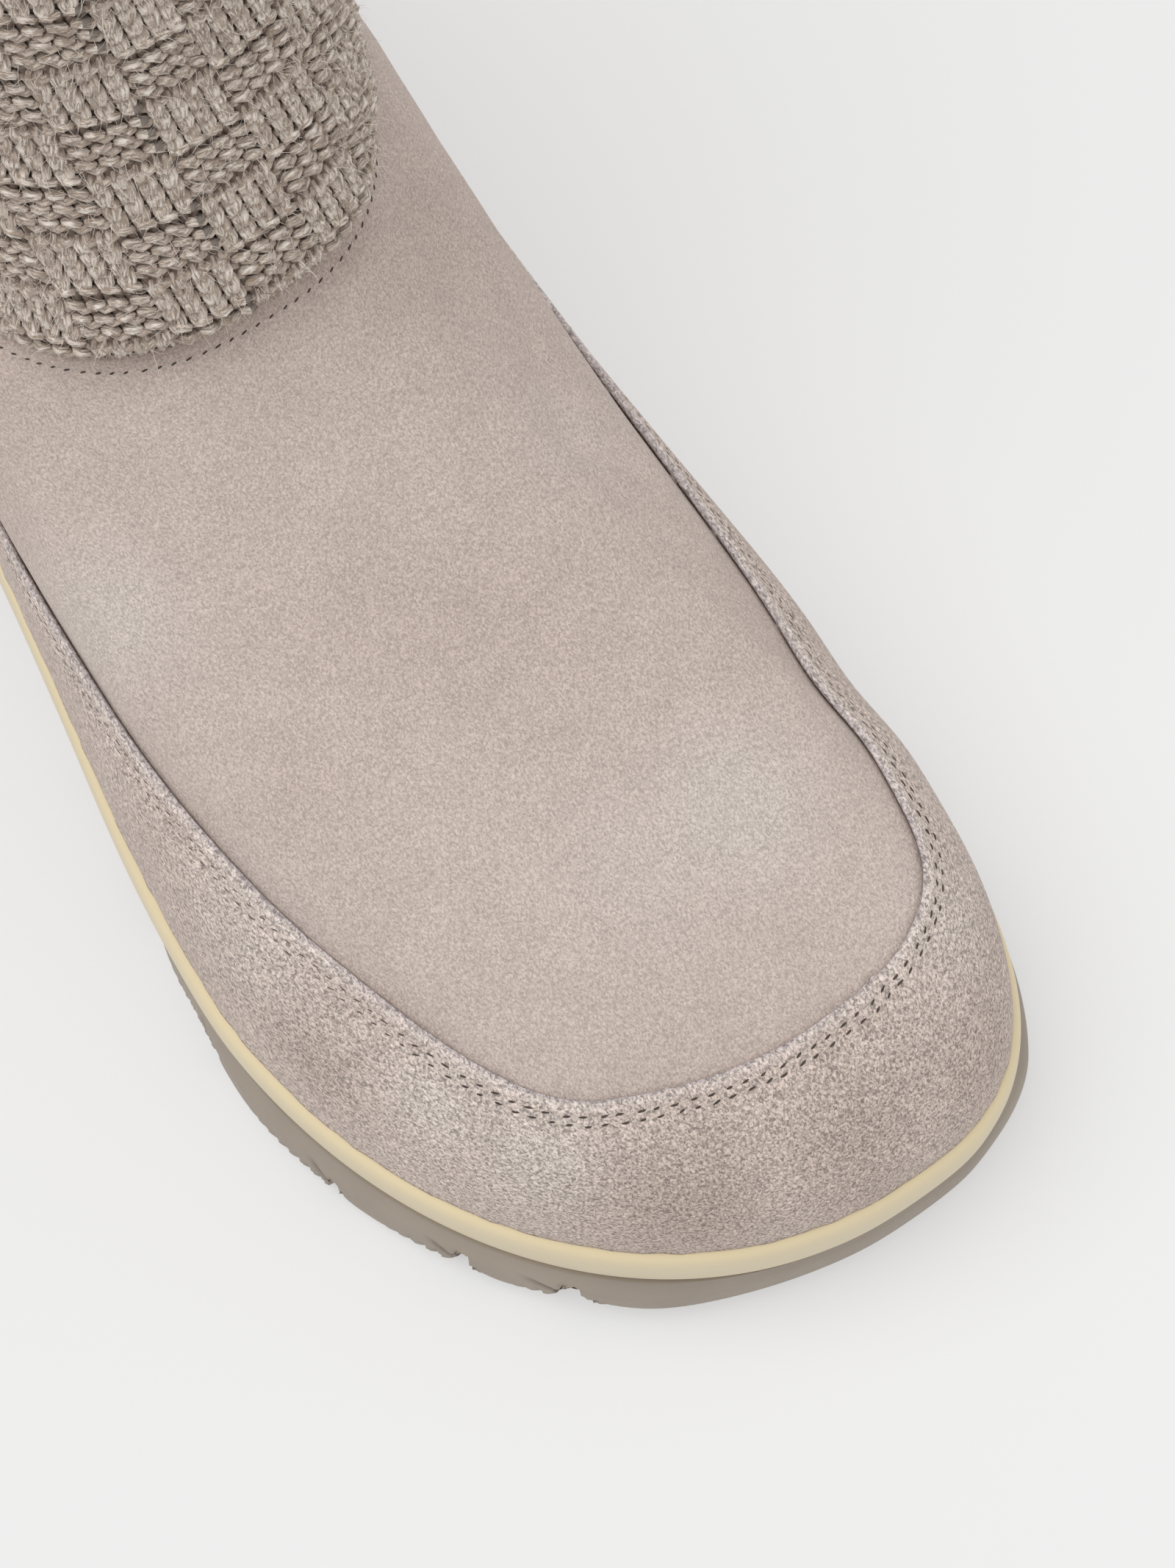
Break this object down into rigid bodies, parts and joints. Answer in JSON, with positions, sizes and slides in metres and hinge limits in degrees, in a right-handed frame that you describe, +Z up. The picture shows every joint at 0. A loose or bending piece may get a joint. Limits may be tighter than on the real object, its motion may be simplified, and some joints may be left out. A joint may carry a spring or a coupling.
{
  "type": "knit-shaft suede ankle boot",
  "caption": "Right ankle boot: smooth suede upper with a stitched suede rand, a slack basket-knit shaft, a cream midsole and a lugged rubber outsole.",
  "frame": {"origin": "on the ground, under the middle of the boot's box", "axes": "+Z up, toe towards -Y, inner side of the foot towards +X"},
  "size_m": [0.1074, 0.2692, 0.195],
  "materials": {
    "outsole_rubber": "matte",
    "midsole_foam": "satin",
    "insole_fabric": "matte",
    "upper_suede": "matte",
    "rand_suede": "matte",
    "shaft_knit": "matte"
  },
  "bodies": {
    "root": {"outsole": "outsole_rubber", "midsole": "midsole_foam", "insole": "insole_fabric", "upper": "upper_suede", "rand": "rand_suede", "shaft": "shaft_knit"}
  },
  "joints": []
}
